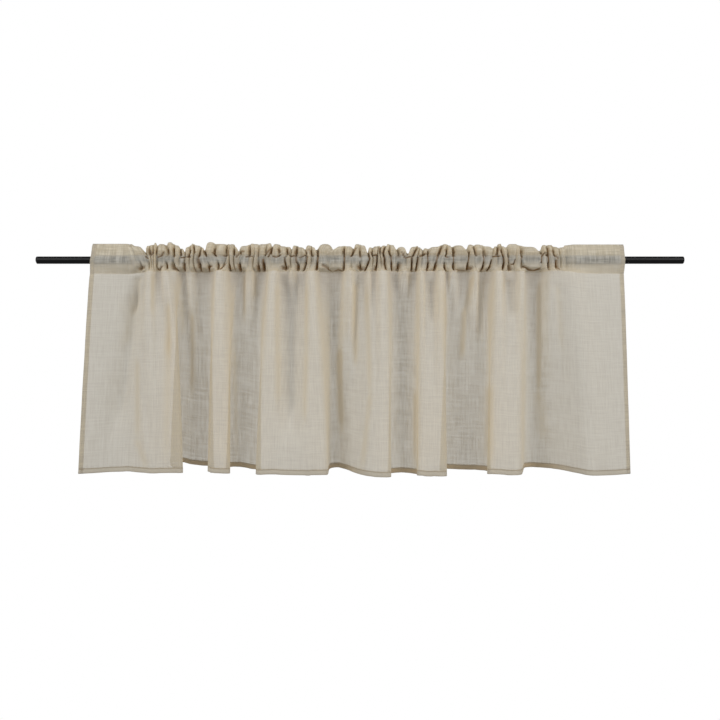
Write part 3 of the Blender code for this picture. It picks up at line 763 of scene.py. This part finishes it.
def sheet_grids():
    """The grids of the drop and of the pocket, each with its painted shade, and for each thread how far it is
    in a channel and its place along the cloth."""
    heading = Heading()
    plan, channel, cloth, middles = hem_curve()
    total = cloth[-1]
    start, end = VALLEYS[0].seam, VALLEYS[-1].seam
    places = [LEFT_EDGE, start] + [face.heading for face in FACES[2:-1]] + [end, RIGHT_EDGE]
    lengths = [0.0, start - LEFT_EDGE] + middles[2:-1] + [total - (RIGHT_EDGE - end), total]
    place = np.interp(heading.x, places, lengths)
    hem = np.stack([np.interp(place, cloth, plan[:, axis]) for axis in (0, 1)], axis=1)
    gathered = heading.gathered * smooth((heading.x - start) / SETTLE) * smooth((end - heading.x) / SETTLE)
    x = heading.place(-1.0)[0]
    seam = np.column_stack([x, DEPTH_AT_SEAM * hem[:, 1] - ridge_height(x, SEAM_GATHERED), heading.seam])
    grids = *drop_grid(heading, hem, seam, gathered), *pocket_grid(heading, seam, gathered)
    return *grids, np.interp(place, cloth, channel), place


def crease_shift(points):
    """How far the creases move each point towards the room, and how much painted tan they give it."""
    x, z = points[..., 0], points[..., 2]
    shift, tan = np.zeros(x.shape), np.zeros(x.shape)
    for crease in CREASES:
        share = (crease.top_z - z) / (crease.top_z - crease.low_z)
        centre = lerp(crease.top_x, crease.low_x, np.clip(share, 0, 1))
        fade = smooth(share / CREASE_START[0] + CREASE_START[1])
        fade = fade * smooth((1 - share) / CREASE_END[0] + CREASE_END[1])
        inside = np.exp(-(((x - centre) / crease.width) ** 2)) * fade
        shift += crease.depth * inside
        tan += crease.tan * inside
    return shift, tan


def crease_drop(drop):
    """Lays the creases, soft ripples and the line of stitches in the drop. Returns where its rows are along
    the cloth, and the painted tan of the creases."""
    noise = np.random.default_rng(SEED)
    shift, tan = crease_shift(drop)
    for ripple in RIPPLES:
        for k in noise.normal(size=(RIPPLE_WAVES, 4)):
            way = drop[..., 0] * k[0] + drop[..., 2] * k[1] * RIPPLE_UPRIGHT
            phase = way * 2 * math.pi / ripple.length + k[2] * RIPPLE_PHASE
            shift += ripple.height * k[3] / RIPPLE_WAVES * np.sin(phase)
    fade = smooth(np.arange(len(drop))[::-1] / STILL_ROWS)
    drop[..., 1] -= shift * fade[:, None]
    v = row_places(drop)
    drop[..., 1] += (STITCH_DIP * np.exp(-((v - BOTTOM_HEM) ** 2)))[:, None]
    return v, tan


def turned(points, order, axis):
    """Rows or threads of a grid in a new order, where those with a share lie behind on the wrong side."""
    along = np.gradient(points, axis=1)
    up = np.gradient(points, axis=0)
    wrong = np.cross(up, along)
    wrong /= np.linalg.norm(wrong, axis=2)[..., None] + 1e-9
    index = np.array([place for place, share in order])
    share = np.array([share for place, share in order])
    moved = np.take(points, index, axis=axis)
    normals = np.take(wrong, index, axis=axis)
    share = share[:, None, None] if axis == 0 else share[None, :, None]
    return moved + normals * share * HEM_LAYER, index


def side_folded(points, u, values):
    """A grid with its side hems, its places along the cloth, and the values of its points."""
    last = points.shape[1] - 1
    right = [(last - place, share) for place, share in SIDE_FOLD[::-1]]
    grid, index = turned(points, SIDE_FOLD + [(place, 0.0) for place in range(1, last)] + right, 1)
    along = u[index]
    fold = len(SIDE_FOLD) - 1
    along[:fold] = 2 * u[0] - along[:fold]
    along[-fold:] = 2 * u[-1] - along[-fold:]
    return grid, along, [value[:, index] for value in values]


def grid_faces(rows, count, start=0):
    lows = [start + row * count + place for row in range(rows - 1) for place in range(count - 1)]
    return [(low, low + 1, low + count + 1, low + count) for low in lows]


def wall_share(points):
    """How much each point of a grid is on the wall of a fold, from 0 to 1 where it faces sideways."""
    along = np.gradient(points, axis=1)
    along[..., 2] = 0.0
    along /= np.linalg.norm(along, axis=2)[..., None] + 1e-9
    share = smooth((WALL_START - np.abs(along[..., 0])) / (WALL_START - WALL_FULL))
    return soften(share.T, WALL_SOFT).T


def rod_shares(pocket):
    """How much painted light each point of the pocket gets from its second layer, and how near it lies on the
    rod.
    """
    height, off_rod = pocket[..., 2], -pocket[..., 1] - ROD_RADIUS
    shown = smooth((np.abs(height) - ROD_RADIUS) / DOUBLED_START)
    over_rod = (np.abs(height) < ROD_RADIUS) * smooth((OFF_ROD - off_rod) / (OFF_ROD - SEAT))
    return np.where(height > 0, 1.0, DOUBLED_BELOW) * shown, over_rod


def make_cloth(material):
    """The sheet as one mesh: the drop with its hems, a row of faces along the seam, and the pocket."""
    drop, shade, pocket, painted_shade, set_back, u = sheet_grids()
    v, tan = crease_drop(drop)
    pocket_v = v[-1] + row_places(pocket)
    drop, index = turned(drop, BOTTOM_FOLD + [(row, 0.0) for row in range(1, len(drop))], 0)
    v = v[index] * np.where(np.arange(len(index)) < len(BOTTOM_FOLD) - 1, -1.0, 1.0)
    set_back = np.tile(set_back, (len(drop), 1))
    drop, drop_u, (shade, tan, set_back) = side_folded(drop, u, [shade[index], tan[index], set_back])
    pocket, pocket_u, (painted_shade,) = side_folded(pocket, u, [painted_shade])

    fine = pocket.shape[1]
    coarse = [c for c in range(fine) if c < EDGE_THREADS or c >= fine - EDGE_THREADS or c % 2 == 0]
    drop, shade, tan, set_back = [values[:-1][:, coarse] for values in (drop, shade, tan, set_back)]
    start = len(drop) * len(coarse)
    faces = grid_faces(len(drop), len(coarse)) + grid_faces(len(pocket), fine, start)
    row = start - len(coarse)
    for place, (a, b) in enumerate(zip(coarse[:-1], coarse[1:])):
        faces.append((row + place, row + place + 1, *range(start + b, start + a - 1, -1)))
    mesh = bpy.data.meshes.new("linen_valance")
    points = np.concatenate([drop.reshape(-1, 3), pocket.reshape(-1, 3)])
    mesh.from_pydata((points * MM).tolist(), [], faces)
    mesh.shade_smooth()

    corners = np.empty(len(mesh.loops), dtype=np.int32)
    mesh.loops.foreach_get("vertex_index", corners)
    places = np.meshgrid(drop_u[coarse], v[:-1]), np.meshgrid(pocket_u, pocket_v)
    places = np.concatenate([np.stack(grid, axis=2).reshape(-1, 2) for grid in places])
    layer = mesh.uv_layers.new(name="threads")
    layer.data.foreach_set("uv", (places[corners] * MM).ravel().astype(np.float32))
    # painted tan on the walls of the folds and along the creases
    walls = np.clip(WALL_TAN * wall_share(drop) + tan, 0.0, 1.0)
    pocket_walls = POCKET_WALL_TAN * WALL_TAN * wall_share(pocket)
    # painted light from the pocket's second layer, and where the cloth lies on the rod
    painted_layer_light, over_rod = rod_shares(pocket)
    nothing = np.zeros(start)
    below = shade, walls, nothing, set_back, nothing
    above = painted_shade, pocket_walls, painted_layer_light, np.ones(painted_shade.size), over_rod
    for name, *values in zip(SHARES, below, above):
        values = np.concatenate([value.ravel() for value in values]).astype(np.float32)
        mesh.attributes.new(name, "FLOAT", "POINT").data.foreach_set("value", values)
    mesh.materials.append(material)
    cloth = bpy.data.objects.new("linen_valance", mesh)
    bpy.context.scene.collection.objects.link(cloth)
    return cloth


class Nodes:
    """Short calls that add and link the nodes of a material or a world."""

    def __init__(self, owner):
        self.owner = owner
        owner.use_nodes = True
        self.tree = owner.node_tree
        self.tree.nodes.clear()

    def add(self, kind, settings=None, **inputs):
        """A node with its settings, and its inputs by name, or by number as i0, i1 and so on."""
        node = self.tree.nodes.new(kind)
        for name, value in (settings or {}).items():
            setattr(node, name, value)
        for name, value in inputs.items():
            self.feed(node, name, value)
        return node

    def feed(self, node, name, value):
        socket = node.inputs[int(name[1:])] if name[0] == "i" and name[1:].isdigit() else node.inputs[name]
        if isinstance(value, bpy.types.NodeSocket):
            self.tree.links.new(value, socket)
        else:
            socket.default_value = value

    def finish(self, shader, kind="ShaderNodeOutputMaterial"):
        self.add(kind, Surface=shader.outputs[0])
        return self.owner

    def math(self, operation, a, b=0.0):
        return self.add("ShaderNodeMath", {"operation": operation}, i0=a, i1=b).outputs[0]

    def plus(self, a, b):
        return self.math("ADD", a, b)

    def times(self, a, b):
        return self.math("MULTIPLY", a, b)

    def share(self, name):
        return self.add("ShaderNodeAttribute", {"attribute_name": name}).outputs["Fac"]

    def blend(self, share, a, b, kind="MIX"):
        node = self.add("ShaderNodeMix", {"data_type": "RGBA", "blend_type": kind}, i0=share, i6=a, i7=b)
        return node.outputs[2]

    def spread(self, value, low, high, out_low, out_high):
        ends = {"i1": low, "i2": high, "i3": out_low, "i4": out_high}
        return self.add("ShaderNodeMapRange", {"clamp": True}, i0=value, **ends).outputs[0]

    def noise(self, place, scale, detail):
        return self.add("ShaderNodeTexNoise", i0=place, Scale=scale, Detail=detail).outputs["Fac"]

    def slub_noise(self, across, along, pitch, shift):
        """Noise that runs fast across a yarn and slowly along it."""
        x, y = self.times(across, pitch[0]), self.times(along, pitch[1])
        return self.noise(self.add("ShaderNodeCombineXYZ", X=x, Y=y, Z=shift).outputs[0], 1.0, 1.0)

    def slubs(self, across, along, shift):
        """How thick the yarns are that lie side by side in one direction."""
        coarse = self.times(self.slub_noise(across, along, COARSE_SLUBS, shift + 5.4), COARSE_SHARE)
        return self.plus(self.slub_noise(across, along, FINE_SLUBS, shift), coarse)

    def roundness(self, across):
        """How high the threads that lie side by side stand."""
        return self.math("ABSOLUTE", self.math("SINE", self.times(across, math.pi / THREAD_PITCH)))


def linen_material():
    """Cloth whose openness, colour and light from behind vary with its slubs and with the mesh's shares,
    which paint shade, tan and light into it.
    """
    n = Nodes(bpy.data.materials.new("linen"))
    uv = n.add("ShaderNodeUVMap", {"uv_map": "threads"}).outputs[0]
    parts = n.add("ShaderNodeSeparateXYZ", i0=uv)
    u, v = parts.outputs[0], parts.outputs[1]
    painted_shade, painted_tan, painted_layer_light, set_back, over_rod = [n.share(name) for name in SHARES]

    warp, weft = n.slubs(u, v, 0.0), n.slubs(v, u, 3.7)
    slubs = n.plus(n.times(warp, WARP_SHARE), n.times(weft, WEFT_SHARE))
    # the slubs fade out under the painted tan
    thick = n.times(n.spread(slubs, *SLUB_RANGE, 0.0, 1.0), n.math("SUBTRACT", 1.0, painted_tan))
    crossing = n.spread(slubs, *CROSSING_RANGE, 0.0, 1.0)

    in_hem = n.math("LESS_THAN", v, BOTTOM_HEM * MM)
    total = hem_curve()[2][-1] * MM
    from_side = n.math("MINIMUM", u, n.math("SUBTRACT", total, u))
    in_side = n.math("LESS_THAN", from_side, SIDE_HEM * MM)
    hem = n.math("MAXIMUM", in_hem, in_side)
    tan = n.times(painted_tan, TAN_SHARE)

    varies = n.plus(SLUB, n.times(set_back, SLUB_BEHIND))
    varies = n.plus(varies, n.times(over_rod, SLUB_ON_ROD))
    between = n.plus(SHEER, n.times(varies, n.spread(slubs, *SLUB_RANGE, 1.0, -1.0)))
    # the weave closes in the hems, and also under the painted shade and the painted tan
    dense = n.math("MAXIMUM", hem, n.math("MAXIMUM", painted_shade, tan))
    sheer = n.add("ShaderNodeMix", {"data_type": "FLOAT"}, i0=dense, i2=between, i3=SHEER_HEM).outputs[0]
    # the share outside the painted shade, which alone lets the white through and has gloss
    unshaded = n.math("SUBTRACT", 1.0, painted_shade)
    clear_share = n.times(n.math("MAXIMUM", sheer, 0.0), unshaded)

    yarn = n.blend(thick, YARN, YARN_THICK)
    # painted light: slubs lighter where the pocket's second layer lies behind
    yarn = n.blend(painted_layer_light, yarn, n.blend(crossing, DOUBLED_OPEN, DOUBLED), "MULTIPLY")
    # painted light: slubs lighter and cooler where the cloth lies on the rod
    yarn = n.blend(over_rod, yarn, n.blend(crossing, ON_ROD_OPEN, ON_ROD), "MULTIPLY")
    # painted tan on the walls of folds and along the creases
    yarn = n.blend(tan, yarn, TAN)
    yarn = n.blend(in_side, yarn, YARN_SIDE)
    # painted shade: the hem darker and browner in the channels
    yarn = n.blend(in_hem, yarn, n.blend(set_back, YARN_HEM, YARN_HEM_SHADED))
    from_stitch = n.math("ABSOLUTE", n.math("SUBTRACT", n.math("ABSOLUTE", v), BOTTOM_HEM * MM))
    from_line = n.math("MINIMUM", from_stitch, n.math("ABSOLUTE", v))
    near, far = [width * MM for width in STITCHED_WIDTH]
    yarn = n.blend(n.spread(from_line, near, far, STITCHED_SHARE, 0.0), yarn, STITCHED)
    # painted shade in the valleys, the hollows and between the ridges
    yarn = n.blend(n.times(painted_shade, PAINTED_SHADE_SHARE), yarn, PAINTED_SHADE_BROWN)

    # the light through the yarn dims with the slubs and with the painted tan
    dim = n.math("MAXIMUM", thick, n.times(painted_tan, TAN_THROUGH))
    passed = n.blend(in_hem, n.blend(dim, THROUGH, THROUGH_THICK), THROUGH_HEM)
    # the painted shade also darkens the light through the yarn
    passed = n.blend(painted_shade, passed, PAINTED_SHADE_BROWN)

    threads = n.plus(n.roundness(u), n.roundness(v))
    height = n.plus(n.times(threads, THREAD_RELIEF), slubs)
    bump = n.add("ShaderNodeBump", Strength=BUMP_STRENGTH, Distance=BUMP_HEIGHT, Height=height).outputs[0]
    face = n.add("ShaderNodeBsdfPrincipled", Roughness=LINEN_ROUGHNESS, Normal=bump)
    n.feed(face, "Base Color", yarn)
    n.feed(face, "Specular IOR Level", n.times(unshaded, LINEN_GLOSS))
    through = n.add("ShaderNodeBsdfTranslucent", Color=passed, Normal=bump)
    body = n.add("ShaderNodeMixShader", i0=THROUGH_SHARE, i1=face.outputs[0], i2=through.outputs[0])
    clear = n.add("ShaderNodeBsdfTransparent")
    return n.finish(n.add("ShaderNodeMixShader", i0=clear_share, i1=body.outputs[0], i2=clear.outputs[0]))


def black_paint_material():
    """Satin black paint with a fine grain and softly uneven gloss."""
    n = Nodes(bpy.data.materials.new("satin_black_paint"))
    where = n.add("ShaderNodeTexCoord").outputs["Object"]
    bump = n.add("ShaderNodeBump", Strength=0.12, Distance=0.0002, Height=n.noise(where, 900.0, 2.0))
    paint = n.add("ShaderNodeBsdfPrincipled", Normal=bump.outputs[0])
    n.feed(paint, "Base Color", (0.005, 0.005, 0.0055, 1.0))
    n.feed(paint, "Roughness", n.spread(n.noise(where, 14.0, 3.0), 0.3, 0.7, 0.30, 0.38))
    n.feed(paint, "Specular IOR Level", 0.11)
    return n.finish(paint)


def make_room():
    """A round pale floor well below the valance, and a white surround that lights it softly."""
    place = (0.0, 0.0, FLOOR_HEIGHT)
    bpy.ops.mesh.primitive_circle_add(vertices=96, radius=FLOOR_RADIUS, fill_type="NGON", location=place)
    floor = bpy.context.object
    floor.name = "floor"
    n = Nodes(bpy.data.materials.new("pale_floor"))
    paint = n.add("ShaderNodeBsdfPrincipled", Roughness=1.0)
    n.feed(paint, "Base Color", (0.9, 0.9, 0.9, 1.0))
    floor.data.materials.append(n.finish(paint))
    n = Nodes(bpy.data.worlds.new("surround"))
    seen = n.add("ShaderNodeLightPath").outputs["Is Camera Ray"]
    strength = n.spread(seen, 0.0, 1.0, SURROUND, 1.0)
    white = n.add("ShaderNodeBackground", Color=(1.0, 1.0, 1.0, 1.0), Strength=strength)
    bpy.context.scene.world = n.finish(white, "ShaderNodeOutputWorld")


def make_light(softbox):
    light = bpy.data.lights.new(softbox.name, "AREA")
    light.size = SOFTBOX_SIZE
    light.energy = softbox.power
    owner = bpy.data.objects.new(softbox.name, light)
    owner.location = softbox.place
    way = Vector(LIT_PLACE) - Vector(softbox.place)
    owner.rotation_euler = way.to_track_quat("-Z", "Y").to_euler()
    bpy.context.scene.collection.objects.link(owner)


def make_camera():
    """Level with the middle of the drop and straight in front."""
    camera = bpy.data.cameras.new("camera")
    camera.sensor_width = SENSOR
    camera.lens = SENSOR * CAMERA_DISTANCE / VIEW_WIDTH
    owner = bpy.data.objects.new("camera", camera)
    owner.location = (0.0, -CAMERA_DISTANCE, CAMERA_HEIGHT)
    owner.rotation_euler = (math.pi / 2, 0.0, 0.0)
    bpy.context.scene.collection.objects.link(owner)
    bpy.context.scene.camera = owner


make_camera()
make_room()
for softbox in SOFTBOXES:
    make_light(softbox)
cloth = make_cloth(linen_material())
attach(cloth, "root")
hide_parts("valance_cloth")
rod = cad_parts["rod"]
paint = black_paint_material()
for slot in rod.material_slots:
    slot.material = paint
bpy.context.scene.view_settings.view_transform = "Standard"
